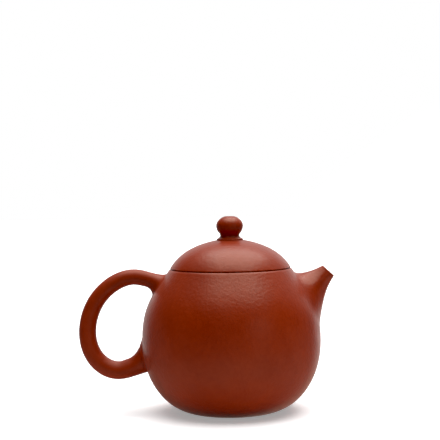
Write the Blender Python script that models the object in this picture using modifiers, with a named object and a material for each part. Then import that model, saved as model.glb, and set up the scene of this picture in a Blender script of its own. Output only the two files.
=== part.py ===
"""A small round-bellied red clay teapot with a cut lid, built from the pieces that a potter joins.

The pot stands on z = 0 with its axis on Z. The spout points along +X and the handle along -X.
The body and the lid are turned pieces on one egg-shaped outline, which the base, the wall, the
mouth ring and the lid share. Luted pieces meet with a small GAP, so each one is its own solid.
"""

import math

import bmesh
import bpy
from mathutils import Matrix, Vector

MM = 0.001

# Driving dimensions
BELLY_RADIUS = 40.0 * MM
BELLY_Z = 31.9 * MM
FOOT_RADIUS = 17.3 * MM
SEAM_RADIUS = 27.05 * MM
SEAM_Z = 64.1 * MM
LID_TOP_Z = 77.1 * MM
WALL = 2.4 * MM
GAP = 0.3 * MM

# Base
BASE_TOP_Z = 3.0 * MM
BASE_END = 0.20
WALL_START = 0.215

# Mouth, lid and flange
MOUTH_RADIUS = 24.0 * MM
RING_JOINT = 0.895
RING_END = 0.905
FLANGE_PLAY = 0.3 * MM
FLANGE_WALL = 1.8 * MM
FLANGE_DEPTH = 7.2 * MM
AIR_HOLE_RADIUS = 1.1 * MM

# Knob
KNOB_RADIUS = 6.05 * MM
KNOB_Z = 83.0 * MM
KNOB_RISE = 4.45 * MM
KNOB_DROP = 5.5 * MM
NECK_RADIUS = 4.3 * MM
NECK_Z = 78.7 * MM
COLLAR_RADIUS = 5.95 * MM
COLLAR_Z = 76.6 * MM

# Spout: its mouth, and the oval where it lands on the body
SPOUT_MOUTH = Vector((43.95, 0.0, 62.2)) * MM
SPOUT_TILT = math.radians(47.0)
SPOUT_RADIUS = 3.5 * MM
SPOUT_BORE_RADIUS = 2.25 * MM
SPOUT_ROOT_Z = 49.6 * MM
SPOUT_ROOT_HEIGHT = 13.1 * MM
SPOUT_ROOT_WIDTH = 12.0 * MM
BORE_ROOT_Z = 50.6 * MM
BORE_ROOT_HEIGHT = 9.6 * MM
BORE_ROOT_WIDTH = 8.8 * MM
SPOUT_EDGE = 0.25 * MM

# Strainer, a ball of clay with holes, set in the wall behind the spout
STRAINER_RADIUS = 7.0 * MM
STRAINER_WALL = 1.2 * MM
STRAINER_Z = 51.4 * MM
STRAINER_INSET = 1.0 * MM
STRAINER_HOLE_RADIUS = 0.8 * MM
STRAINER_RINGS = ((0.0, 1), (27.0, 6), (54.0, 10))

# Handle: centre line in the XZ plane as (x, z, half thickness), from the top root to the lower one
HANDLE_ROUTE = (
    (-24.0, 55.5, 4.6),
    (-32.5, 58.4, 4.0),
    (-38.0, 60.0, 3.55),
    (-43.5, 60.6, 3.55),
    (-50.0, 59.1, 3.65),
    (-56.0, 55.3, 3.75),
    (-60.8, 49.6, 3.85),
    (-63.8, 42.6, 3.95),
    (-64.6, 35.6, 4.05),
    (-63.2, 28.6, 4.1),
    (-59.6, 22.9, 4.15),
    (-54.4, 19.5, 4.15),
    (-49.0, 18.9, 4.2),
    (-44.0, 20.6, 4.4),
    (-38.5, 24.0, 4.7),
    (-30.0, 29.0, 4.9),
)

TURN_STEPS = 48
KNOB_STEPS = 28
LOFT_SIDES = 32
LOFT_RINGS = 8

CLAY = (0.36, 0.075, 0.030)
TRIMMED_CLAY = (0.40, 0.095, 0.042)
RAW_CLAY = (0.43, 0.12, 0.060)


def clear_scene():
    for obj in list(bpy.data.objects):
        bpy.data.objects.remove(obj)


def new_collection(name):
    collection = bpy.data.collections.new(name)
    bpy.context.scene.collection.children.link(collection)
    return collection


def clay_material(name, colour, roughness):
    material = bpy.data.materials.new(name)
    material.use_nodes = True
    shader = material.node_tree.nodes["Principled BSDF"]
    shader.inputs["Base Color"].default_value = (*colour, 1.0)
    shader.inputs["Roughness"].default_value = roughness
    shader.inputs["Metallic"].default_value = 0.0
    return material


# Outlines. Each is a list of (radius, z) pairs.


def bezier(p0, p1, p2, p3, start=0.0, end=1.0, count=8):
    """Points on a cubic curve, from parameter start to end."""
    points = []
    for i in range(count):
        t = start + (end - start) * i / (count - 1)
        weights = ((1 - t) ** 3, 3 * (1 - t) ** 2 * t, 3 * (1 - t) * t**2, t**3)
        points.append(
            tuple(sum(w * p[k] for w, p in zip(weights, (p0, p1, p2, p3))) for k in (0, 1))
        )
    return points


def belly_below(start=0.0, end=1.0, count=8):
    """The body's outline from its foot up to the belly."""
    return bezier(
        (FOOT_RADIUS, 0.0),
        (FOOT_RADIUS + 11.9 * MM, 0.8 * MM),
        (BELLY_RADIUS, BELLY_Z - 18.6 * MM),
        (BELLY_RADIUS, BELLY_Z),
        start,
        end,
        count,
    )


def belly_above(start=0.0, end=1.0, count=8):
    """The body's outline from the belly up to the lid's seam."""
    return bezier(
        (BELLY_RADIUS, BELLY_Z),
        (BELLY_RADIUS, BELLY_Z + 15.8 * MM),
        (SEAM_RADIUS + 8.1 * MM, SEAM_Z - 11.6 * MM),
        (SEAM_RADIUS, SEAM_Z),
        start,
        end,
        count,
    )


def lid_outline(count=10):
    """The lid's outline from the seam up to its air hole. The last stretch is under the knob."""
    dome = bezier(
        (SEAM_RADIUS, SEAM_Z + GAP / 2),
        (SEAM_RADIUS - 4.25 * MM, SEAM_Z + 7.3 * MM),
        (COLLAR_RADIUS + 8.95 * MM, COLLAR_Z - 1.65 * MM),
        (COLLAR_RADIUS, COLLAR_Z),
        count=count,
    )
    return dome + [(AIR_HOLE_RADIUS, LID_TOP_Z)]


def offset_outline(points, distance):
    """The same open outline moved sideways, to the left of its own direction."""
    moved = []
    for i, (r, z) in enumerate(points):
        before, after = points[max(i - 1, 0)], points[min(i + 1, len(points) - 1)]
        dr, dz = after[0] - before[0], after[1] - before[1]
        length = math.hypot(dr, dz)
        moved.append((r - distance * dz / length, z + distance * dr / length))
    return moved


def body_radius(z):
    """Outer radius of the body at a height between its belly and its seam."""
    outline = belly_above(count=200)
    for (r0, z0), (r1, z1) in zip(outline, outline[1:]):
        if z <= z1:
            return r0 + (r1 - r0) * (z - z0) / (z1 - z0)
    return outline[-1][0]


def body_normal(point):
    """Outward normal of the body at a point of its upper half."""
    step = 0.2 * MM
    slope = (body_radius(point.z + step) - body_radius(point.z - step)) / (2 * step)
    outward = Vector((point.x, point.y, 0.0)).normalized()
    return (outward - Vector((0.0, 0.0, slope))).normalized()


# Makers


def place(obj, collection, material):
    collection.objects.link(obj)
    if material is not None:
        obj.data.materials.append(material)
    return obj


def turned(name, outline, collection, material=None, closed=True, steps=TURN_STEPS):
    """A turned piece. The outline at +X runs down its outer side; a closed one returns up the inside."""
    mesh = bpy.data.meshes.new(name)
    edges = [(i, i + 1) for i in range(len(outline) - 1)]
    if closed:
        edges.append((len(outline) - 1, 0))
    mesh.from_pydata([(r, 0.0, z) for r, z in outline], edges, [])
    obj = place(bpy.data.objects.new(name, mesh), collection, material)
    screw = obj.modifiers.new("Turn", "SCREW")
    screw.steps = screw.render_steps = steps
    screw.use_merge_vertices = True
    screw.merge_threshold = 0.00001
    screw.use_smooth_shade = True
    return obj


def loft(name, rings, collection, material):
    """A tube whose wall runs through these rings in order and closes on the first one."""
    sides = len(rings[0])
    vertices = [point for ring in rings for point in ring]
    faces = []
    for k in range(len(rings)):
        here, there = k * sides, (k + 1) % len(rings) * sides
        for i in range(sides):
            j = (i + 1) % sides
            faces.append((here + i, here + j, there + j, there + i))
    mesh = bpy.data.meshes.new(name)
    mesh.from_pydata(vertices, [], faces)
    work = bmesh.new()
    work.from_mesh(mesh)
    bmesh.ops.recalc_face_normals(work, faces=work.faces)
    work.to_mesh(mesh)
    work.free()
    mesh.shade_smooth()
    mesh.set_sharp_from_angle(angle=math.radians(40))
    return place(bpy.data.objects.new(name, mesh), collection, material)


def mesh_from_curve(curve_obj, collection, material):
    """Replaces a bevelled curve by the same shape as a closed mesh, which a Boolean can cut."""
    graph = bpy.context.evaluated_depsgraph_get()
    mesh = bpy.data.meshes.new_from_object(curve_obj.evaluated_get(graph))
    work = bmesh.new()
    work.from_mesh(mesh)
    bmesh.ops.remove_doubles(work, verts=work.verts, dist=0.01 * MM)
    work.to_mesh(mesh)
    work.free()
    mesh.materials.clear()
    name = curve_obj.name
    matrix = curve_obj.matrix_world.copy()
    bpy.data.objects.remove(curve_obj)
    obj = place(bpy.data.objects.new(name, mesh), collection, material)
    obj.matrix_world = matrix
    return obj


def cut(obj, cutter):
    boolean = obj.modifiers.new("Cut " + cutter.name, "BOOLEAN")
    boolean.operation = "DIFFERENCE"
    boolean.object = cutter
    cutter.hide_render = True
    cutter.display_type = "WIRE"


# Pieces of the pot


def make_base(collection, material):
    """A disc that stands on its flat underside. Its rim turns up to meet the wall."""
    rim = belly_below(0.0, BASE_END, 4)
    inner_rim = offset_outline(rim, WALL)[-1]
    top = [(0.0, BASE_TOP_Z), (inner_rim[0] - 4 * MM, BASE_TOP_Z), inner_rim]
    outline = top + list(reversed(rim)) + [(0.0, 0.0)]
    return turned("base_plate", outline, collection, material, closed=False)


def make_wall(collection, material, cutter):
    """The body's wall, from the base's rim up to the mouth ring, with a hole for the strainer."""
    outer = belly_below(WALL_START, 1.0, 8) + belly_above(0.0, RING_JOINT, 8)[1:]
    inner = offset_outline(outer, WALL)
    obj = turned("body_wall", list(reversed(outer)) + inner, collection, material)
    cut(obj, cutter)
    return obj


def make_mouth_ring(collection, material):
    """The ring that closes the wall's top and carries the lid. Its bore takes the lid's flange."""
    outer = belly_above(RING_END, 0.995, 4)
    joint_inner = offset_outline(outer, WALL)[0]
    top_z = SEAM_Z - GAP / 2
    outline = [
        (SEAM_RADIUS - 0.35 * MM, top_z),
        *reversed(outer),
        joint_inner,
        (MOUTH_RADIUS + 0.4 * MM, joint_inner[1]),
        (MOUTH_RADIUS, joint_inner[1] + 0.4 * MM),
        (MOUTH_RADIUS, top_z),
    ]
    return turned("mouth_ring", outline, collection, material)


def spout_axis():
    return Vector((math.cos(SPOUT_TILT), 0.0, math.sin(SPOUT_TILT)))


def spout_rings(mouth_radius, root_z, root_height, root_width, lift):
    """Rings of a flared tube from the spout's mouth to an oval on the body, lifted off its surface."""
    axis = spout_axis()
    upward = Vector((-math.sin(SPOUT_TILT), 0.0, math.cos(SPOUT_TILT)))
    sideways = Vector((0.0, 1.0, 0.0))
    rings = [[] for _ in range(LOFT_RINGS)]
    centre = Vector((body_radius(root_z), 0.0, root_z))
    for i in range(LOFT_SIDES):
        angle = 2 * math.pi * i / LOFT_SIDES
        high, wide = math.cos(angle), math.sin(angle)
        radial = high * upward + wide * sideways
        start = SPOUT_MOUTH + mouth_radius * radial
        z, y = root_z + root_height * high, root_width * wide
        foot = Vector((math.sqrt(body_radius(z) ** 2 - y**2), y, z))
        normal = body_normal(foot)
        away = foot - centre
        away = (away - away.dot(normal) * normal).normalized()
        end = foot + lift * normal
        leave = start - (5.2 - 1.2 * high) * MM * (axis - 0.12 * radial)
        arrive = end - (5.5 - 2.5 * high) * MM * away + 0.1 * lift * normal
        for k in range(LOFT_RINGS):
            t = k / (LOFT_RINGS - 1)
            rings[k].append(
                (1 - t) ** 3 * start
                + 3 * (1 - t) ** 2 * t * leave
                + 3 * (1 - t) * t**2 * arrive
                + t**3 * end
            )
    return rings


def make_spout(collection, material):
    """A short flared spout. Its outer skin lands on the body in a large oval, its bore in a smaller one."""
    outer = spout_rings(
        SPOUT_RADIUS, SPOUT_ROOT_Z, SPOUT_ROOT_HEIGHT, SPOUT_ROOT_WIDTH, GAP + SPOUT_EDGE
    )
    bore = spout_rings(SPOUT_BORE_RADIUS, BORE_ROOT_Z, BORE_ROOT_HEIGHT, BORE_ROOT_WIDTH, GAP)
    edge = []
    for point in outer[-1]:
        edge.append(point - SPOUT_EDGE * body_normal(point))
    return loft("spout", outer + [edge] + list(reversed(bore)), collection, material)


def strainer_matrix():
    """Frame of the strainer: its origin on the wall's outer face, its +Z into the pot."""
    origin = Vector((body_radius(STRAINER_Z), 0.0, STRAINER_Z))
    inward = -body_normal(origin)
    rotation = inward.to_track_quat("Z", "Y").to_matrix().to_4x4()
    return Matrix.Translation(origin) @ rotation


def make_wall_cutter(collection):
    """The round hole in the wall that the strainer fills."""
    height = 3 * WALL
    radius = STRAINER_RADIUS + GAP
    outline = [(0.0, height), (radius, height), (radius, -height), (0.0, -height)]
    obj = turned("strainer_hole_cutter", outline, collection, closed=False, steps=KNOB_STEPS)
    obj.matrix_world = strainer_matrix()
    return obj


def make_strainer(collection, cutters, material):
    """A hollow half ball on a short skirt, drilled with rings of small holes."""
    skirt = WALL
    dome, hollow = [], []
    for i in range(7):
        angle = math.radians(90 * (1 - i / 6))
        for points, radius in ((dome, STRAINER_RADIUS), (hollow, STRAINER_RADIUS - STRAINER_WALL)):
            points.append((radius * math.cos(angle), skirt + radius * math.sin(angle)))
    dome[0], hollow[0] = (0.0, dome[0][1]), (0.0, hollow[0][1])
    rim = [(STRAINER_RADIUS, STRAINER_INSET), (STRAINER_RADIUS - STRAINER_WALL, STRAINER_INSET)]
    outline = dome + rim + list(reversed(hollow))
    obj = turned("strainer", outline, collection, material, closed=False, steps=KNOB_STEPS)
    obj.matrix_world = strainer_matrix()

    drill = bmesh.new()
    centre = Matrix.Translation((0.0, 0.0, skirt))
    for tilt, count in STRAINER_RINGS:
        for i in range(count):
            turn = Matrix.Rotation(2 * math.pi * i / count, 4, "Z")
            lean = Matrix.Rotation(math.radians(tilt), 4, "Y")
            reach = Matrix.Translation((0.0, 0.0, STRAINER_RADIUS - STRAINER_WALL / 2))
            bmesh.ops.create_cone(
                drill,
                cap_ends=True,
                segments=8,
                radius1=STRAINER_HOLE_RADIUS,
                radius2=STRAINER_HOLE_RADIUS,
                depth=3 * STRAINER_WALL,
                matrix=centre @ turn @ lean @ reach,
            )
    mesh = bpy.data.meshes.new("strainer_drills")
    drill.to_mesh(mesh)
    drill.free()
    drills = place(bpy.data.objects.new("strainer_drills", mesh), cutters, None)
    drills.matrix_world = strainer_matrix()
    cut(obj, drills)
    return obj


def make_body_envelope(collection):
    """The body's outside, grown by the gap. It trims the handle's roots."""
    outer = belly_below(0.0, 1.0, 12) + belly_above(0.0, 1.0, 16)[1:]
    grown = offset_outline(outer, -GAP)
    outline = [(0.0, grown[-1][1]), *reversed(grown), (0.0, grown[0][1])]
    return turned("body_envelope", outline, collection, closed=False)


def smooth_route(points, per_span=3):
    """Catmull-Rom points through a route of number tuples."""
    route = []
    for i in range(1, len(points) - 2):
        p0, p1, p2, p3 = points[i - 1 : i + 3]
        for k in range(per_span):
            t = k / per_span
            route.append(
                tuple(
                    0.5 * (2 * b + (c - a) * t + (2 * a - 5 * b + 4 * c - d) * t**2
                           + (3 * b - a - 3 * c + d) * t**3)
                    for a, b, c, d in zip(p0, p1, p2, p3)
                )
            )
    route.append(points[-2])
    return route


def make_handle(collection, material, envelope):
    """A round rolled handle, thicker towards its lower root, trimmed to the body at both ends."""
    route = [HANDLE_ROUTE[0]] + smooth_route(HANDLE_ROUTE, per_span=2) + [HANDLE_ROUTE[-1]]
    curve = bpy.data.curves.new("handle", "CURVE")
    curve.dimensions = "3D"
    curve.bevel_depth = 1.0 * MM
    curve.bevel_resolution = 3
    curve.use_fill_caps = True
    spline = curve.splines.new("POLY")
    spline.points.add(len(route) - 1)
    for point, (x, z, half_thickness) in zip(spline.points, route):
        point.co = (x * MM, 0.0, z * MM, 1.0)
        point.radius = half_thickness
    curve_obj = bpy.data.objects.new("handle", curve)
    collection.objects.link(curve_obj)
    obj = mesh_from_curve(curve_obj, collection, material)
    obj.data.shade_smooth()
    cut(obj, envelope)
    return obj


# Pieces of the lid


def make_lid_dome(collection, material):
    """The lid's domed plate, with a flat underside that rests on the mouth ring."""
    flange_inner = MOUTH_RADIUS - FLANGE_PLAY - FLANGE_WALL
    underside_z = SEAM_Z + GAP / 2
    inner = bezier(
        (flange_inner, underside_z),
        (flange_inner - 3.5 * MM, underside_z + 5.2 * MM),
        (11.0 * MM, LID_TOP_Z - WALL - 0.3 * MM),
        (AIR_HOLE_RADIUS, LID_TOP_Z - WALL),
        count=8,
    )
    edge = (SEAM_RADIUS - 0.35 * MM, underside_z)
    outer = lid_outline()
    outer[0] = (SEAM_RADIUS - 0.05 * MM, underside_z + 0.35 * MM)
    return turned("lid_dome", list(reversed(outer)) + [edge] + inner, collection, material)


def make_lid_flange(collection, material):
    """The ring under the lid that drops into the mouth and keeps the lid central."""
    outer_radius = MOUTH_RADIUS - FLANGE_PLAY
    inner_radius = outer_radius - FLANGE_WALL
    top_z = SEAM_Z - GAP / 2
    bottom_z = top_z - FLANGE_DEPTH
    outline = [
        (outer_radius, top_z),
        (outer_radius, bottom_z + 0.5 * MM),
        (outer_radius - 0.5 * MM, bottom_z),
        (inner_radius + 0.3 * MM, bottom_z),
        (inner_radius, bottom_z + 0.3 * MM),
        (inner_radius, top_z),
    ]
    return turned("lid_flange", outline, collection, material)


def make_knob_collar(collection, material):
    """The flared foot of the knob, sitting on the dome."""
    under_z = COLLAR_Z + GAP
    top_z = NECK_Z - GAP / 2
    side = bezier(
        (COLLAR_RADIUS, under_z + 0.3 * MM),
        (COLLAR_RADIUS - 0.9 * MM, under_z + 0.6 * MM),
        (NECK_RADIUS, top_z - 0.7 * MM),
        (NECK_RADIUS, top_z),
        count=5,
    )
    outline = [
        *reversed(side),
        (COLLAR_RADIUS - 0.1 * MM, under_z),
        (AIR_HOLE_RADIUS, LID_TOP_Z + GAP),
        (AIR_HOLE_RADIUS, top_z),
    ]
    return turned("knob_collar", outline, collection, material, steps=KNOB_STEPS)


def make_knob(collection, material):
    """The flattened bead on top, with the air hole through it and a dimple around the hole."""
    low = -math.acos(NECK_RADIUS / KNOB_RADIUS)
    dimple = (AIR_HOLE_RADIUS + 0.6 * MM) / KNOB_RADIUS
    high = math.acos(dimple)
    outer = []
    count = 14
    for i in range(count):
        angle = low + (high - low) * i / (count - 1)
        rise = KNOB_RISE if angle > 0 else KNOB_DROP
        outer.append((KNOB_RADIUS * math.cos(angle), KNOB_Z + rise * math.sin(angle)))
    bottom_z = NECK_Z + GAP / 2
    outer = [point for point in outer if point[1] > bottom_z + 0.2 * MM]
    outline = [
        (AIR_HOLE_RADIUS, outer[-1][1] - 0.5 * MM),
        *reversed(outer),
        (NECK_RADIUS, bottom_z),
        (AIR_HOLE_RADIUS, bottom_z),
    ]
    return turned("knob", outline, collection, material, steps=KNOB_STEPS)


def main():
    clear_scene()
    teapot = new_collection("Teapot")
    cutters = new_collection("Cutters")
    clay = clay_material("polished_clay", CLAY, 0.42)
    trimmed = clay_material("trimmed_clay", TRIMMED_CLAY, 0.55)
    raw = clay_material("raw_clay", RAW_CLAY, 0.7)

    make_base(teapot, clay)
    make_wall(teapot, clay, make_wall_cutter(cutters))
    make_mouth_ring(teapot, trimmed)
    make_spout(teapot, clay)
    make_strainer(teapot, cutters, raw)
    make_handle(teapot, clay, make_body_envelope(cutters))
    make_lid_dome(teapot, clay)
    make_lid_flange(teapot, trimmed)
    make_knob_collar(teapot, clay)
    make_knob(teapot, clay)


main()
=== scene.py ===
"""The looks of the clay teapot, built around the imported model.

Every visible piece is remade as a fine mesh. The main radii and heights of the turned pieces, and
the spout's tip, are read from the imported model. The curves between them, the handle's route and the
roots of the spout and the handle are this script's own numbers. The spout and the handle flow into
the body the way luted clay does, and the clay is procedural. Lengths in this script are
millimetres, until a mesh, a light or the camera is made.
"""

import math

import bmesh
import bpy
import numpy as np
from mathutils import Matrix, Vector


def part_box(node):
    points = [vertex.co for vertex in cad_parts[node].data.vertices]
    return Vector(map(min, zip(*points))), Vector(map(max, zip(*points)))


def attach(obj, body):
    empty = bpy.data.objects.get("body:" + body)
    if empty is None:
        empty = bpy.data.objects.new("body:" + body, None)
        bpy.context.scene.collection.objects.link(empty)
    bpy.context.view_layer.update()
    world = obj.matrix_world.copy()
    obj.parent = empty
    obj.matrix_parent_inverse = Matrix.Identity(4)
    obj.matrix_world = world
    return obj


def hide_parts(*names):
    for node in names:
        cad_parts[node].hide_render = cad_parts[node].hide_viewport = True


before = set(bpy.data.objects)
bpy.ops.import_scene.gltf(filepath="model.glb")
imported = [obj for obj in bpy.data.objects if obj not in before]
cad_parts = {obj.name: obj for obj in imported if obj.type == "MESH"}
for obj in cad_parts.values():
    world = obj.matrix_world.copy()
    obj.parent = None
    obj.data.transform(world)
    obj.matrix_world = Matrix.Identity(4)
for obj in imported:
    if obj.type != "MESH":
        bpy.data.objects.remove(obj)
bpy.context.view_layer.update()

MM = 0.001


# Sizes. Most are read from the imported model. The bare numbers among them repeat the CAD model's, or
# are chosen for the looks.


def points_of(node):
    """A CAD node's vertices, in millimetres."""
    return np.array([v.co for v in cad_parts[node].data.vertices]) / MM


def radii(node, z, reach=0.6):
    """Smallest and largest distance from the pot's axis among a node's vertices near a height."""
    points = points_of(node)
    near = points[np.abs(points[:, 2] - z) < reach]
    distance = np.hypot(near[:, 0], near[:, 1])
    return distance.min(), distance.max()


def low(node):
    """A CAD node's lowest corner at rest."""
    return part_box(node)[0] / MM


def high(node):
    """A CAD node's highest corner at rest."""
    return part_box(node)[1] / MM


BELLY_RADIUS = high("body_wall").y
wall_points = points_of("body_wall")
BELLY_Z = wall_points[np.hypot(wall_points[:, 0], wall_points[:, 1]).argmax(), 2]
WALL = BELLY_RADIUS - radii("body_wall", BELLY_Z)[0]
FOOT_RADIUS = radii("base_plate", 0.0, 0.01)[1]
FLOOR_Z = 3.0  # the pot's floor inside
BASE_JOINT_Z = low("body_wall").z
RING_JOINT_Z = low("mouth_ring").z

RING_TOP_Z = high("mouth_ring").z
DOME_LOW_Z = low("lid_dome").z
SEAM_Z = (RING_TOP_Z + DOME_LOW_Z) / 2
SEAM_RADIUS = high("lid_dome").y + 0.05
SEAM_GAP = 0.10  # the line that shows between lid and pot
MOUTH_RADIUS = radii("mouth_ring", RING_TOP_Z, 0.01)[0]
FLANGE_OUTER = high("lid_flange").y
FLANGE_INNER = radii("lid_flange", high("lid_flange").z, 0.01)[0]
FLANGE_LOW_Z = low("lid_flange").z
FLANGE_CLEARANCE = 0.03

DOME_TOP_Z = high("lid_dome").z
COLLAR_RADIUS = high("knob_collar").y
CAD_GAP = 0.3  # between luted pieces in the CAD model
COLLAR_Z = low("knob_collar").z - CAD_GAP
NECK_Z = (high("knob_collar").z + low("knob").z) / 2
NECK_RADIUS = 4.25
KNOB_RADIUS = high("knob").y
KNOB_TOP_Z = high("knob").z
KNOB_Z = KNOB_TOP_Z - 4.27  # the bead's widest place
KNOB_DROP = 5.3
KNOB_TOP_RADIUS = 1.75  # where the bead ends above, round the air hole
KNOB_LOW_RADIUS = 4.5  # where it ends below, at the neck
AIR_HOLE_RADIUS = radii("knob_collar", high("knob_collar").z, 0.01)[0]

SPOUT_TILT = math.radians(47.0)
SPOUT_RADIUS = 3.5
SPOUT_BORE_RADIUS = 2.25
SPOUT_TIP_X = high("spout").x
SPOUT_TOP_Z = high("spout").z

STRAINER_RADIUS = high("strainer").y
STRAINER_WALL = 1.2

# Ovals on the body where the roots end: half width, middle height and half height. A half height
# below zero turns the oval over, as the handle does on its way round to its lower root.
SPOUT_ROOT = (17.0, 49.9, 12.4)
BORE_ROOT = (7.0, 50.6, 7.6)
HANDLE_TOP_ROOT = (7.6, 56.9, 5.4)
HANDLE_CREASE = (5.1, 23.4, -5.5)
HANDLE_LOW_ROOT = (6.8, 25.7, -9.3)

TURN_STEPS = 192
KNOB_STEPS = 96
SHARP_ANGLE = math.radians(38)
LEAST_EDGE = 0.002  # shorter edges than this are merged


# Outlines. Each is an array of (radius, z) rows.


def bezier(p0, p1, p2, p3, count=24):
    """Points along a cubic Bezier curve."""
    t = np.linspace(0, 1, count)[:, None]
    p0, p1, p2, p3 = (np.array(p, float) for p in (p0, p1, p2, p3))
    return (1 - t) ** 3 * p0 + 3 * (1 - t) ** 2 * t * p1 + 3 * (1 - t) * t**2 * p2 + t**3 * p3


def body_outline():
    """The body's outside, from the edge of its foot up to the lid's seam."""
    below = bezier(
        (FOOT_RADIUS, 0.0),
        (FOOT_RADIUS + 11.9, 0.8),
        (BELLY_RADIUS, BELLY_Z - 18.6),
        (BELLY_RADIUS, BELLY_Z),
        200,
    )
    above = bezier(
        (BELLY_RADIUS, BELLY_Z),
        (BELLY_RADIUS, BELLY_Z + 15.8),
        (SEAM_RADIUS + 8.1, SEAM_Z - 11.6),
        (SEAM_RADIUS, SEAM_Z),
        200,
    )
    return np.vstack([below, above[1:]])


BODY = body_outline()


def body_radius(z):
    """The body's outer radius at a height."""
    return np.interp(z, BODY[:, 1], BODY[:, 0])


def stretch(z0, z1, count):
    """The body's outline between two heights, evenly spaced, with a close pair at each end.
    The close pairs keep the shading at a joint the same on both of its sides."""
    length = np.concatenate([[0], np.cumsum(np.hypot(*np.diff(BODY, axis=0).T))])
    start, end = np.interp((z0, z1), BODY[:, 1], length)
    near = 0.05 * np.sign(end - start)
    at = np.concatenate([[start], np.linspace(start + near, end - near, count - 2), [end]])
    return np.stack([np.interp(at, length, BODY[:, 0]), np.interp(at, length, BODY[:, 1])], 1)


def offset(outline, distance):
    """The same open outline moved sideways, to the left of its own direction."""
    along = np.gradient(outline, axis=0)
    left = np.stack([-along[:, 1], along[:, 0]], 1)
    return outline + distance * left / np.linalg.norm(left, axis=1)[:, None]


def soften(outline, corner, distance, count=6):
    """Rounds the corner at a point of a closed outline, over a distance along it to each side."""
    corner = np.array(corner, float)
    at = int(np.linalg.norm(outline - corner, axis=1).argmin())
    rolled = np.roll(outline, -at, axis=0)
    ends = []
    for side in (rolled, np.roll(rolled[::-1], 1, axis=0)):
        walked, i = 0.0, 0
        while True:
            step = np.linalg.norm(side[i + 1] - side[i])
            if walked + step > distance:
                break
            walked, i = walked + step, i + 1
        share = (distance - walked) / step
        ends.append((i, side[i] + share * (side[i + 1] - side[i])))
    (skip_after, after), (skip_before, before) = ends
    t = np.linspace(0, 1, count)[:, None]
    curve = (1 - t) ** 2 * before + 2 * (1 - t) * t * rolled[0] + t**2 * after
    kept = rolled[skip_after + 1 : len(rolled) - skip_before]
    return np.vstack([curve, kept])


# Mesh makers


def finished(name, mesh, body, replaced, material):
    """Turns a mesh into a piece that rides on a body and stands for a CAD node."""
    mesh.name = name
    mesh.shade_smooth()
    mesh.set_sharp_from_angle(angle=SHARP_ANGLE)
    mesh.materials.clear()
    mesh.materials.append(material)
    piece = bpy.data.objects.new(name, mesh)
    bpy.context.scene.collection.objects.link(piece)
    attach(piece, body)
    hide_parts(replaced)
    return piece


def tidy_faces(work):
    """Merges points that fall together and turns all faces outward."""
    bmesh.ops.remove_doubles(work, verts=work.verts, dist=LEAST_EDGE * MM)
    bmesh.ops.recalc_face_normals(work, faces=work.faces)


def turned_mesh(outline, steps=TURN_STEPS):
    """A closed outline turned about the pot's axis. A run along the axis itself is left out."""
    work = bmesh.new()
    points = [work.verts.new((r * MM, 0.0, z * MM)) for r, z in outline]
    edges = []
    for i, point in enumerate(points):
        following = points[(i + 1) % len(points)]
        if point.co.x > 1e-7 or following.co.x > 1e-7:
            edges.append(work.edges.new((point, following)))
    bmesh.ops.spin(
        work,
        geom=points + edges,
        axis=(0, 0, 1),
        cent=(0, 0, 0),
        angle=math.tau,
        steps=steps,
        use_merge=True,
    )
    tidy_faces(work)
    mesh = bpy.data.meshes.new("turned")
    work.to_mesh(mesh)
    work.free()
    return mesh


def loft_mesh(rings, closed):
    """A skin through rings of points. A closed one returns to its first ring, an open one is capped."""
    work = bmesh.new()
    rows = [[work.verts.new(Vector(point) * MM) for point in ring] for ring in rings]
    sides = len(rows[0])
    pairs = list(zip(rows, rows[1:]))
    if closed:
        pairs.append((rows[-1], rows[0]))
    else:
        work.faces.new(rows[0])
        work.faces.new(rows[-1])
    for here, there in pairs:
        for i in range(sides):
            j = (i + 1) % sides
            work.faces.new((here[i], here[j], there[j], there[i]))
    tidy_faces(work)
    mesh = bpy.data.meshes.new("loft")
    work.to_mesh(mesh)
    work.free()
    return mesh


# Places on the body's surface


def on_body(y, z, side):
    """The point of the body's surface at this y and z, on the spout's side (1) or the handle's (-1)."""
    radius = body_radius(z)
    return np.stack([side * np.sqrt(radius**2 - y**2), y, z], -1)


def oval_on_body(oval, up, wide, side):
    """A ring of points round an oval on the body's surface."""
    half_width, middle, half_height = oval
    return on_body(half_width * wide[:, 0], middle + half_height * up[:, 0], side)


def body_normals(points):
    """The body's outward normals at points on its surface."""
    slope = (body_radius(points[:, 2] + 0.1) - body_radius(points[:, 2] - 0.1)) / 0.2
    outward = points * (1, 1, 0)
    outward /= np.linalg.norm(outward, axis=1)[:, None]
    normals = outward - slope[:, None] * (0, 0, 1)
    return normals / np.linalg.norm(normals, axis=1)[:, None]


def root_rings(ring, leaving, foot, first, second, hug, count):
    """Rings that carry a tube's end ring into the body. They leave along the tube, by the distances
    first and second, and land on the foot with the body's own slope and curvature: hug says how
    long they follow it. The last ones run on just under the surface and then into the wall."""
    normals = body_normals(foot)
    away = foot - foot.mean(0)
    away -= (away * normals).sum(1)[:, None] * normals
    away /= np.linalg.norm(away, axis=1)[:, None]
    hug = np.broadcast_to(hug, len(ring))[:, None]
    controls = [
        ring,
        ring + np.broadcast_to(first, len(ring))[:, None] * leaving,
        ring + np.broadcast_to(second, len(ring))[:, None] * leaving,
        foot - 2 * hug * away - 1.25 * hug**2 / BELLY_RADIUS * normals,
        foot - hug * away,
        foot,
    ]
    rings = []
    for i in range(count):
        t = 1 - (1 - i / (count - 1)) ** 1.35
        rings.append(
            sum(math.comb(5, k) * (1 - t) ** (5 - k) * t**k * p for k, p in enumerate(controls))
        )
    apron = foot + 0.8 * away
    reach = body_radius(apron[:, 2]) / np.hypot(apron[:, 0], apron[:, 1])
    apron[:, :2] *= reach[:, None]
    rings.append(apron - 0.012 * normals)
    rings.append(apron - 0.6 * normals)
    return rings


# Clay


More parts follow.
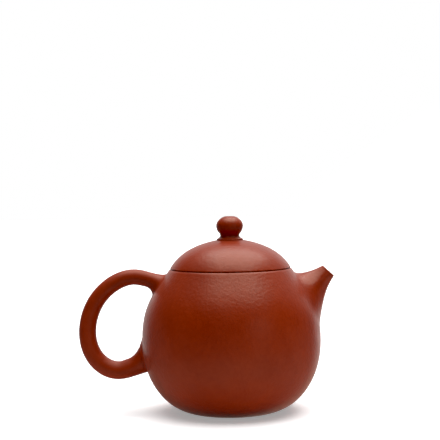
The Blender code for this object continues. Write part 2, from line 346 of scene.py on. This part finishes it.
class Graph:
    """Short ways to add shader nodes to a node tree."""

    def __init__(self, tree):
        self.tree = tree
        self.nodes = tree.nodes

    def link(self, source, socket):
        self.tree.links.new(source, socket)

    def math(self, operation, a, b=0.0):
        node = self.nodes.new("ShaderNodeMath")
        node.operation = operation
        for socket, value in zip(node.inputs, (a, b)):
            if isinstance(value, (int, float)):
                socket.default_value = value
            else:
                self.link(value, socket)
        return node.outputs[0]

    def total(self, *values):
        result = values[0]
        for value in values[1:]:
            result = self.math("ADD", result, value)
        return result

    def remap(self, value, from_low, from_high, to_low, to_high, smooth=False):
        node = self.nodes.new("ShaderNodeMapRange")
        node.interpolation_type = "SMOOTHSTEP" if smooth else "LINEAR"
        self.link(value, node.inputs["Value"])
        bounds = (from_low, from_high, to_low, to_high)
        for name, bound in zip(("From Min", "From Max", "To Min", "To Max"), bounds):
            node.inputs[name].default_value = bound
        return node.outputs["Result"]

    def noise(self, place, size, detail):
        """Soft noise from about 0.3 to 0.7, with features of a size in the units of its place."""
        node = self.nodes.new("ShaderNodeTexNoise")
        self.link(place, node.inputs["Vector"])
        node.inputs["Scale"].default_value = 1 / size
        node.inputs["Detail"].default_value = detail
        return node.outputs["Fac"]


def clay(name, dark, light, roughness, shine, skin):
    """Fine red stoneware. skin is how deep its orange-peel grain is, in millimetres."""
    material = bpy.data.materials.new(name)
    material.use_nodes = True
    graph = Graph(material.node_tree)
    shader = graph.nodes["Principled BSDF"]
    place = graph.nodes.new("ShaderNodeTexCoord")
    scaled = graph.nodes.new("ShaderNodeVectorMath")
    scaled.operation = "SCALE"
    scaled.inputs["Scale"].default_value = 1 / MM
    graph.link(place.outputs["Object"], scaled.inputs[0])
    at = scaled.outputs[0]

    cloud = graph.remap(graph.noise(at, 17.0, 3.0), 0.3, 0.7, 0.0, 0.5)
    mottle = graph.remap(graph.noise(at, 2.2, 3.0), 0.3, 0.7, 0.0, 0.3)
    specks = graph.remap(graph.noise(at, 0.28, 2.0), 0.52, 0.72, 0.0, 0.35)
    mix = graph.nodes.new("ShaderNodeMix")
    mix.data_type = "RGBA"
    mix.inputs["A"].default_value = (*dark, 1)
    mix.inputs["B"].default_value = (*light, 1)
    graph.link(graph.total(cloud, mottle, specks), mix.inputs["Factor"])
    graph.link(mix.outputs["Result"], shader.inputs["Base Color"])

    patches = graph.remap(graph.noise(at, 6.0, 3.0), 0.3, 0.7, roughness - 0.03, roughness + 0.03)
    grain = graph.remap(graph.noise(at, 0.5, 2.0), 0.3, 0.7, -0.02, 0.02)
    graph.link(graph.total(patches, grain), shader.inputs["Roughness"])

    swell = graph.math("MULTIPLY", graph.noise(at, 5.0, 2.0), skin * 0.5)
    peel = graph.math("MULTIPLY", graph.noise(at, 1.3, 2.0), skin)
    grit = graph.math("MULTIPLY", graph.noise(at, 0.6, 2.0), skin * 0.2)
    bump = graph.nodes.new("ShaderNodeBump")
    bump.inputs["Distance"].default_value = MM
    graph.link(graph.total(swell, peel, grit), bump.inputs["Height"])
    graph.link(bump.outputs["Normal"], shader.inputs["Normal"])

    shader.inputs["Specular IOR Level"].default_value = shine
    shader.inputs["Specular Tint"].default_value = (1.0, 0.80, 0.63, 1)
    shader.inputs["Sheen Weight"].default_value = 0.12
    shader.inputs["Sheen Roughness"].default_value = 0.4
    shader.inputs["Sheen Tint"].default_value = (1.0, 0.52, 0.42, 1)
    return material


POLISHED = clay("polished_clay", (0.248, 0.0246, 0.0049), (0.322, 0.0372, 0.0082), 0.34, 0.40, 0.10)
HANDLED = clay("handled_clay", (0.244, 0.0250, 0.0052), (0.320, 0.0370, 0.0086), 0.40, 0.30, 0.05)
TRIMMED = clay("trimmed_clay", (0.285, 0.0340, 0.0070), (0.355, 0.0510, 0.0125), 0.45, 0.38, 0.05)
RAW = clay("raw_clay", (0.300, 0.0420, 0.0100), (0.370, 0.0600, 0.0165), 0.60, 0.35, 0.10)


# The pot


def make_base():
    """The disc that the wall stands on, dished a little on top."""
    rim = stretch(0.0, BASE_JOINT_Z, 10)
    inner = offset(stretch(0.0, BASE_JOINT_Z, 10), WALL)[-1]
    top = bezier((0.0, FLOOR_Z), (12.0, FLOOR_Z), (inner[0] - 3.0, FLOOR_Z), inner, 16)
    outline = np.vstack([[(0.0, 0.0)], rim, top[::-1]])
    outline = soften(outline, (FOOT_RADIUS, 0.0), 0.35)
    return finished(
        "pot_base", turned_mesh(outline), "pot", "base_plate", POLISHED
    )


def strainer_matrix():
    """Frame of the strainer: its origin on the wall's outer face, its +Z into the pot."""
    z = (low("strainer").z + high("strainer").z) / 2 + 1.25
    origin = on_body(np.array([0.0]), np.array([z]), 1)
    inward = -Vector(body_normals(origin)[0])
    rotation = inward.to_track_quat("Z", "Y").to_matrix().to_4x4()
    return Matrix.Translation(Vector(origin[0]) * MM) @ rotation


def boolean(piece, cutter):
    """Cuts a piece with another object, which is then removed. The cut leaves edges of almost no
    length, which are merged, so that the mesh stays closed when it is written out."""
    modifier = piece.modifiers.new("Cut", "BOOLEAN")
    modifier.object = cutter
    cutter.hide_render = True
    graph = bpy.context.evaluated_depsgraph_get()
    mesh = bpy.data.meshes.new_from_object(piece.evaluated_get(graph))
    piece.modifiers.clear()
    work = bmesh.new()
    work.from_mesh(mesh)
    tidy_faces(work)
    bmesh.ops.dissolve_degenerate(work, edges=work.edges, dist=LEAST_EDGE * MM)
    work.to_mesh(mesh)
    work.free()
    piece.data = mesh
    mesh.shade_smooth()
    mesh.set_sharp_from_angle(angle=SHARP_ANGLE)
    bpy.data.objects.remove(cutter)


def cutter_object(work, matrix):
    """An object to cut with, made from a bmesh."""
    mesh = bpy.data.meshes.new("cutter")
    work.to_mesh(mesh)
    work.free()
    cutter = bpy.data.objects.new("cutter", mesh)
    bpy.context.scene.collection.objects.link(cutter)
    cutter.matrix_world = matrix
    return cutter


def make_wall():
    """The belly, with a round hole behind the spout for the strainer."""
    outer = stretch(BASE_JOINT_Z, RING_JOINT_Z, 110)
    inner = offset(stretch(BASE_JOINT_Z, RING_JOINT_Z, 60), WALL)
    outline = np.vstack([outer, inner[::-1]])
    wall = finished(
        "pot_wall", turned_mesh(outline), "pot", "body_wall", POLISHED
    )
    work = bmesh.new()
    bmesh.ops.create_cone(
        work,
        cap_ends=True,
        segments=64,
        radius1=(STRAINER_RADIUS + 0.05) * MM,
        radius2=(STRAINER_RADIUS + 0.05) * MM,
        depth=6 * WALL * MM,
    )
    boolean(wall, cutter_object(work, strainer_matrix()))
    return wall


def make_mouth_ring():
    """The band under the seam, with a rounded outer edge that the lid rests on."""
    ring_top = SEAM_Z - SEAM_GAP / 2
    outer = stretch(RING_JOINT_Z, ring_top, 20)
    joint_inner = offset(outer, WALL)[0]
    outline = np.vstack(
        [
            outer,
            [(MOUTH_RADIUS, ring_top)],
            [(MOUTH_RADIUS, joint_inner[1])],
            [joint_inner],
        ]
    )
    outline = soften(outline, (MOUTH_RADIUS, joint_inner[1]), 0.7)
    outline = soften(outline, (MOUTH_RADIUS, ring_top), 0.3)
    outline = soften(outline, outer[-1], 1.2)
    return finished(
        "pot_mouth", turned_mesh(outline), "pot", "mouth_ring", POLISHED
    )


def circle(sides):
    """Cosines and sines round a circle, as columns."""
    angle = np.arange(sides) * math.tau / sides
    return np.cos(angle)[:, None], np.sin(angle)[:, None]


def make_spout():
    """A short flared spout: its lip, its outside down to the body, and its bore."""
    sides = 96
    up, wide = circle(sides)
    axis = np.array([math.cos(SPOUT_TILT), 0, math.sin(SPOUT_TILT)])
    across = np.array([-math.sin(SPOUT_TILT), 0, math.cos(SPOUT_TILT)])
    sideways = np.array([0.0, 1.0, 0.0])
    radial = up * across + wide * sideways
    reach = SPOUT_RADIUS * math.sin(SPOUT_TILT)
    mouth = np.array([SPOUT_TIP_X - reach, 0, SPOUT_TOP_Z - SPOUT_RADIUS * math.cos(SPOUT_TILT)])

    def ring(radius, depth):
        return mouth + radius * radial - depth * axis

    def rounded_edge(radius, bend, side):
        """Rings round a quarter turn of the lip, ending along the spout at this radius."""
        turns = np.radians(np.arange(0, 91, 15))
        return [
            ring(radius - side * bend * (1 - math.sin(turn)), bend * (1 - math.cos(turn)))
            for turn in turns
        ]

    lip = rounded_edge(SPOUT_RADIUS, 0.35, 1)
    inner_lip = rounded_edge(SPOUT_BORE_RADIUS, 0.4, -1)
    foot = oval_on_body(SPOUT_ROOT, up, wide, 1)
    leaving = (0.295 + 0.105 * up - 0.13 * (2 * up * wide) ** 2) * radial - axis
    leaving /= np.linalg.norm(leaving, axis=1)[:, None]
    first = 5.3 - 1.0 * up[:, 0]
    second = 7.65 - 0.4 * up[:, 0]
    outer = root_rings(lip[-1], leaving, foot, first, second, 1.05 + 2.9 * wide[:, 0] ** 2, 56)
    bore_foot = oval_on_body(BORE_ROOT, up, wide, 1)
    bore = root_rings(inner_lip[-1], 0.1 * radial - axis, bore_foot, first, second, 0.5, 24)[:-2]
    rings = lip + outer[1:] + bore[::-1] + inner_lip[:-1][::-1]
    return finished("pot_spout", loft_mesh(rings, True), "pot", "spout", POLISHED)


def natural_spline(points, count):
    """A smooth curve with continuous curvature through points, evenly spaced along it."""
    points = np.array(points, float)
    knots = np.concatenate([[0], np.cumsum(np.linalg.norm(np.diff(points[:, :2], axis=0), axis=1))])
    gaps = np.diff(knots)
    system = np.zeros((len(knots), len(knots)))
    right = np.zeros_like(points)
    system[0, 0] = system[-1, -1] = 1
    for i in range(1, len(knots) - 1):
        system[i, i - 1 : i + 2] = gaps[i - 1], 2 * (gaps[i - 1] + gaps[i]), gaps[i]
        right[i] = 6 * (
            (points[i + 1] - points[i]) / gaps[i] - (points[i] - points[i - 1]) / gaps[i - 1]
        )
    bend = np.linalg.solve(system, right)
    at = np.linspace(0, knots[-1], count)
    span = np.clip(np.searchsorted(knots, at, side="right") - 1, 0, len(gaps) - 1)
    gap = gaps[span][:, None]
    b = (at - knots[span])[:, None] / gap
    a = 1 - b
    curve = a * points[span] + b * points[span + 1]
    return curve + ((a**3 - a) * bend[span] + (b**3 - b) * bend[span + 1]) * gap**2 / 6


# The handle's middle line, from its top root round to its lower one: x, z and half its thickness.
# It keeps within about 0.2 mm of the CAD handle's.
HANDLE_ROUTE = (
    (-37.2, 59.5, 3.44),
    (-40.0, 60.25, 3.47),
    (-43.5, 60.65, 3.5),
    (-50.0, 59.1, 3.59),
    (-55.95, 55.2, 3.67),
    (-60.7, 49.5, 3.75),
    (-63.65, 42.5, 3.82),
    (-64.5, 35.6, 3.87),
    (-63.2, 28.5, 3.92),
    (-59.6, 22.8, 3.99),
    (-54.4, 19.45, 4.05),
    (-49.6, 18.9, 4.08),
    (-46.2, 19.7, 4.18),
)


def make_handle():
    """A rolled loop. It flows into the body at the top, and ends in a pressed crease below."""
    sides = 72
    up, wide = circle(sides)
    route = natural_spline(HANDLE_ROUTE, 150)
    along = np.gradient(route[:, :2], axis=0)
    along /= np.linalg.norm(along, axis=1)[:, None]
    tube = []
    for (x, z, half), (tx, tz) in zip(route, along):
        outward = np.array([tz, 0.0, -tx])
        tube.append(
            np.array([x, 0.0, z]) + half * (up * outward + 1.04 * wide * np.array([0.0, 1.0, 0.0]))
        )
    top_foot = oval_on_body(HANDLE_TOP_ROOT, up, wide, -1)
    to_top = -np.array([along[0][0], 0.0, along[0][1]])
    top = root_rings(tube[0], to_top, top_foot, 1.2, 2.4, 0.9 + 1.0 * wide[:, 0] ** 2, 32)

    rise = up[:, 0]
    crease = oval_on_body(HANDLE_CREASE, up, wide, -1)
    outward = body_normals(crease)
    crease = crease + (1.15 - 0.7 * rise)[:, None] * outward
    bend = tube[-1] + (3.7 - 0.4 * up) * np.array([along[-1][0], 0.0, along[-1][1]])
    end = []
    for t in np.linspace(0.0, 1.0, 14):
        end.append((1 - t) ** 2 * tube[-1] + 2 * (1 - t) * t * bend + t**2 * crease)
    inward = crease.mean(0) - crease
    inward /= np.linalg.norm(inward, axis=1)[:, None]
    groove = crease + 0.14 * inward - 0.10 * outward
    skirt = crease + 0.02 * inward - 0.22 * outward
    low_foot = oval_on_body(HANDLE_LOW_ROOT, up, wide, -1)
    inner_side = np.clip(-rise, 0, 1)
    leaving = -outward - 1.8 * inner_side[:, None] * inward
    leaving /= np.linalg.norm(leaving, axis=1)[:, None]
    bottom = root_rings(
        skirt, leaving, low_foot, 0.1 + inner_side, 0.3 + 1.8 * inner_side, 0.25 + inner_side, 18
    )
    rings = top[::-1] + tube[1:] + end[1:] + [groove] + bottom
    return finished(
        "pot_handle", loft_mesh(rings, False), "pot", "handle", HANDLED
    )


STRAINER_HOLES = ((0.0, 1), (27.0, 6), (54.0, 10))  # each ring's lean in degrees, and its count
STRAINER_HOLE_RADIUS = 0.8


def make_strainer():
    """A hollow half ball on a short skirt, with rings of holes."""
    angle = np.radians(np.linspace(90, 0, 20))
    ball = np.stack([np.cos(angle), np.sin(angle)], 1)
    skirt = WALL
    dome = ball * STRAINER_RADIUS + (0, skirt)
    hollow = ball * (STRAINER_RADIUS - STRAINER_WALL) + (0, skirt)
    dome[0, 0] = hollow[0, 0] = 0.0
    rim = [(STRAINER_RADIUS, 0.4), (STRAINER_RADIUS - STRAINER_WALL, 0.4)]
    outline = np.vstack([dome, rim, hollow[::-1]])
    mesh = turned_mesh(outline, KNOB_STEPS)
    mesh.transform(strainer_matrix())
    strainer = finished("pot_strainer", mesh, "pot", "strainer", RAW)
    work = bmesh.new()
    for tilt, count in STRAINER_HOLES:
        for i in range(count):
            turn = Matrix.Rotation(math.tau * i / count, 4, "Z")
            lean = Matrix.Rotation(math.radians(tilt), 4, "Y")
            reach = Matrix.Translation((0.0, 0.0, (STRAINER_RADIUS - STRAINER_WALL / 2) * MM))
            bmesh.ops.create_cone(
                work,
                cap_ends=True,
                segments=20,
                radius1=STRAINER_HOLE_RADIUS * MM,
                radius2=STRAINER_HOLE_RADIUS * MM,
                depth=3 * STRAINER_WALL * MM,
                matrix=Matrix.Translation((0.0, 0.0, skirt * MM)) @ turn @ lean @ reach,
            )
    boolean(strainer, cutter_object(work, strainer_matrix()))
    return strainer


# The lid


def make_lid_dome():
    """The lid's dome, which carries the body's outline on from the seam to the collar."""
    low_z = SEAM_Z + SEAM_GAP / 2
    outer = bezier(
        (SEAM_RADIUS, low_z),
        (SEAM_RADIUS - 4.25, SEAM_Z + 7.3),
        (COLLAR_RADIUS + 8.95, COLLAR_Z - 1.65),
        (COLLAR_RADIUS, COLLAR_Z),
        80,
    )
    inner = bezier(
        (FLANGE_INNER, low_z),
        (FLANGE_INNER - 3.5, low_z + 5.2),
        (11.0, DOME_TOP_Z - WALL - 0.3),
        (AIR_HOLE_RADIUS, DOME_TOP_Z - WALL),
        40,
    )
    outline = np.vstack([outer, [(AIR_HOLE_RADIUS, DOME_TOP_Z)], inner[::-1]])
    outline = soften(outline, (SEAM_RADIUS, low_z), 0.40)
    return finished(
        "lid_cap", turned_mesh(outline), "lid_top", "lid_dome", POLISHED
    )


def make_lid_flange():
    """The ring that drops into the mouth. Its top stays just clear of the dome, which turns on it."""
    top_z = SEAM_Z + SEAM_GAP / 2 - FLANGE_CLEARANCE
    outline = np.array(
        [
            (FLANGE_OUTER, top_z),
            (FLANGE_OUTER, FLANGE_LOW_Z),
            (FLANGE_INNER, FLANGE_LOW_Z),
            (FLANGE_INNER, top_z),
        ]
    )
    outline = soften(outline, (FLANGE_OUTER, FLANGE_LOW_Z), 0.5)
    outline = soften(outline, (FLANGE_INNER, FLANGE_LOW_Z), 0.5)
    return finished(
        "lid_flange_ring", turned_mesh(outline), "lid_rim", "lid_flange", TRIMMED
    )


def make_collar():
    """The knob's small flared foot, round the air hole."""
    side = bezier(
        (NECK_RADIUS, NECK_Z),
        (NECK_RADIUS, NECK_Z - 0.8),
        (COLLAR_RADIUS - 0.7, COLLAR_Z + 0.85),
        (COLLAR_RADIUS, COLLAR_Z + 0.5),
        20,
    )
    outline = np.vstack(
        [
            side,
            [(COLLAR_RADIUS, COLLAR_Z - 0.05)],
            [(AIR_HOLE_RADIUS, DOME_TOP_Z - 0.05)],
            [(AIR_HOLE_RADIUS, NECK_Z)],
        ]
    )
    outline = soften(outline, (COLLAR_RADIUS, COLLAR_Z + 0.5), 0.15)
    return finished(
        "lid_collar",
        turned_mesh(outline, KNOB_STEPS),
        "lid_top",
        "knob_collar",
        POLISHED,
    )


def make_knob():
    """A flattened bead: half an ellipse above its widest place, a deeper one below, then the neck."""
    start = math.acos(KNOB_TOP_RADIUS / KNOB_RADIUS)
    end = -math.acos(KNOB_LOW_RADIUS / KNOB_RADIUS)
    rise = (KNOB_TOP_Z - KNOB_Z) / math.sin(start)
    top = np.linspace(start, 0, 24)
    bottom = np.linspace(0, end, 16)[1:]
    upper = np.stack([KNOB_RADIUS * np.cos(top), KNOB_Z + rise * np.sin(top)], 1)
    lower = np.stack([KNOB_RADIUS * np.cos(bottom), KNOB_Z + KNOB_DROP * np.sin(bottom)], 1)
    outline = np.vstack(
        [
            upper,
            lower,
            [(NECK_RADIUS, NECK_Z)],
            [(AIR_HOLE_RADIUS, NECK_Z)],
            [(AIR_HOLE_RADIUS, KNOB_TOP_Z - 0.6)],
        ]
    )
    outline = soften(outline, lower[-1], 0.25)
    outline = soften(outline, upper[0], 0.35)
    return finished(
        "lid_knob", turned_mesh(outline, KNOB_STEPS), "lid_top", "knob", POLISHED
    )


# The studio


def sheet(name, colour, glow):
    """A big matt sheet on the floor, hidden from glossy rays."""
    mesh = bpy.data.meshes.new(name)
    work = bmesh.new()
    bmesh.ops.create_grid(work, x_segments=1, y_segments=1, size=3.0)
    work.to_mesh(mesh)
    work.free()
    material = bpy.data.materials.new(name)
    material.use_nodes = True
    shader = material.node_tree.nodes["Principled BSDF"]
    shader.inputs["Base Color"].default_value = (colour, colour, colour, 1)
    shader.inputs["Roughness"].default_value = 0.9
    shader.inputs["Specular IOR Level"].default_value = 0.0
    shader.inputs["Emission Color"].default_value = (1, 1, 1, 1)
    shader.inputs["Emission Strength"].default_value = glow
    mesh.materials.append(material)
    laid = bpy.data.objects.new(name, mesh)
    bpy.context.scene.collection.objects.link(laid)
    laid.visible_glossy = False
    return laid


def make_floor():
    """The floor that is seen, lit a little from below, and one just under it that is not seen and
    only bounces light up at the pot."""
    floor = sheet("floor", 0.98, 0.33)
    floor.visible_diffuse = floor.visible_shadow = False
    bounce = sheet("bounce", 0.80, 0.0)
    bounce.visible_camera = False
    bounce.location = (0.045, 0.0, -0.05 * MM)
    graph = Graph(bounce.data.materials[0].node_tree)
    place = graph.nodes.new("ShaderNodeTexCoord").outputs["Object"]
    length = graph.nodes.new("ShaderNodeVectorMath")
    length.operation = "LENGTH"
    graph.link(place, length.inputs[0])
    paper = graph.remap(length.outputs["Value"], 0.11, 0.19, 0.9, 0.3, smooth=True)
    graph.link(paper, graph.nodes["Principled BSDF"].inputs["Base Color"])


def toward(azimuth, elevation):
    """A direction: azimuth in degrees from the camera's side round by the spout, and elevation."""
    a, e = math.radians(azimuth), math.radians(elevation)
    return (math.sin(a) * math.cos(e), -math.cos(a) * math.cos(e), math.sin(e))


# Soft panels round the room: azimuth, elevation, the cosines at their edge and where they are
# full, and strength. Behind on the right, low behind, front right, front, and low at both sides.
PANELS = (
    (138, 36, 0.84, 0.95, 0.46),
    (158, -18, 0.85, 0.97, 0.40),
    (38, 15, 0.955, 0.996, 0.85),
    (-8, 32, 0.84, 0.97, 0.08),
    (-112, -20, 0.84, 0.97, 0.18),
    (104, -24, 0.84, 0.97, 0.12),
)


def make_room():
    """A white room: a broad rectangular lamp overhead in a dimmer strip of ceiling, a wall behind
    the pot, a faint table below it and the soft panels. Light from below is warm, as a table takes
    on the clay's red. How bright all this is is seen only in the light that it gives. Looked at,
    the room is plain white."""
    world = bpy.data.worlds.new("room")
    bpy.context.scene.world = world
    world.use_nodes = True
    graph = Graph(world.node_tree)
    place = graph.nodes.new("ShaderNodeTexCoord").outputs["Generated"]

    def facing(direction):
        node = graph.nodes.new("ShaderNodeVectorMath")
        node.operation = "DOT_PRODUCT"
        graph.link(place, node.inputs[0])
        node.inputs[1].default_value = direction
        return graph.math("MAXIMUM", node.outputs["Value"], 0.0)

    split = graph.nodes.new("ShaderNodeSeparateXYZ")
    graph.link(place, split.inputs[0])
    rise = graph.math("MAXIMUM", split.outputs["Z"], 0.02)
    above = graph.remap(split.outputs["Z"], 0.0, 0.05, 0.0, 1.0)

    def strip(axis, centre, half, fade):
        """A band of the ceiling along an axis, in units of the ceiling's height above the pot."""
        at = graph.math("DIVIDE", split.outputs[axis], rise)
        away = graph.math("ABSOLUTE", graph.math("SUBTRACT", at, centre))
        return graph.remap(away, half - fade, half + fade, 1.0, 0.0, smooth=True)

    def lamp(across, along, strength):
        """A rectangle of the ceiling: its strip across X, its strip along Y and how bright it is."""
        shape = graph.math("MULTIPLY", strip("X", *across), strip("Y", *along))
        return graph.math("MULTIPLY", graph.math("MULTIPLY", shape, above), strength)

    overhead = lamp((0.12, 0.53, 0.22), (0.11, 0.63, 0.22), 4.45)
    ceiling = lamp((0.0, 1.0, 0.25), (0.3, 0.45, 0.25), 0.4)
    down = facing(toward(0, -90))
    wall = graph.remap(facing(toward(180, 0)), 0.60, 0.92, 0.0, 0.8, smooth=True)
    wall = graph.math("MULTIPLY", wall, graph.remap(down, 0.1, 0.5, 1.0, 0.0, smooth=True))
    table = graph.remap(down, 0.20, 0.55, 0.0, 0.22, smooth=True)
    table = graph.math("MULTIPLY", table, graph.remap(down, 0.6, 1.0, 1.0, 0.5, smooth=True))
    panels = [
        graph.remap(facing(toward(azimuth, elevation)), edge, full, 0.0, strength, smooth=True)
        for azimuth, elevation, edge, full, strength in PANELS
    ]
    given = graph.total(overhead, ceiling, wall, table, *panels)

    looked_at = graph.nodes.new("ShaderNodeLightPath").outputs["Is Camera Ray"]
    strength = graph.math("MAXIMUM", given, looked_at)
    graph.link(strength, graph.nodes["Background"].inputs["Strength"])
    tint = graph.nodes.new("ShaderNodeMix")
    tint.data_type = "RGBA"
    tint.inputs["A"].default_value = (1, 1, 1, 1)
    tint.inputs["B"].default_value = (1.0, 0.72, 0.60, 1)
    graph.link(graph.remap(down, 0.08, 0.35, 0.0, 1.0, smooth=True), tint.inputs["Factor"])
    graph.link(tint.outputs["Result"], graph.nodes["Background"].inputs["Color"])


def make_camera():
    """The photograph's view: a long lens, almost level with the lid, with a slight lean."""
    data = bpy.data.cameras.new("camera")
    data.sensor_width = 36.0
    data.lens = 95.6
    data.clip_start = 0.01
    data.clip_end = 20.0
    camera = bpy.data.objects.new("camera", data)
    bpy.context.scene.collection.objects.link(camera)
    camera.location = Vector((-4.25, -522.8, 101.6)) * MM
    level = Matrix.Rotation(math.radians(90 - 1.755), 4, "X")
    lean = Matrix.Rotation(math.radians(-0.95), 4, "Z")
    camera.rotation_euler = (level @ lean).to_euler()
    bpy.context.scene.camera = camera


make_base()
make_wall()
make_mouth_ring()
make_spout()
make_strainer()
make_handle()
make_lid_dome()
make_lid_flange()
make_collar()
make_knob()
make_floor()
make_room()
make_camera()

# A small black level deepens the clay's dark side
look = bpy.context.scene.view_settings
look.view_transform = "Standard"
look.use_curve_mapping = True
look.curve_mapping.black_level = (0.008, 0.008, 0.006)
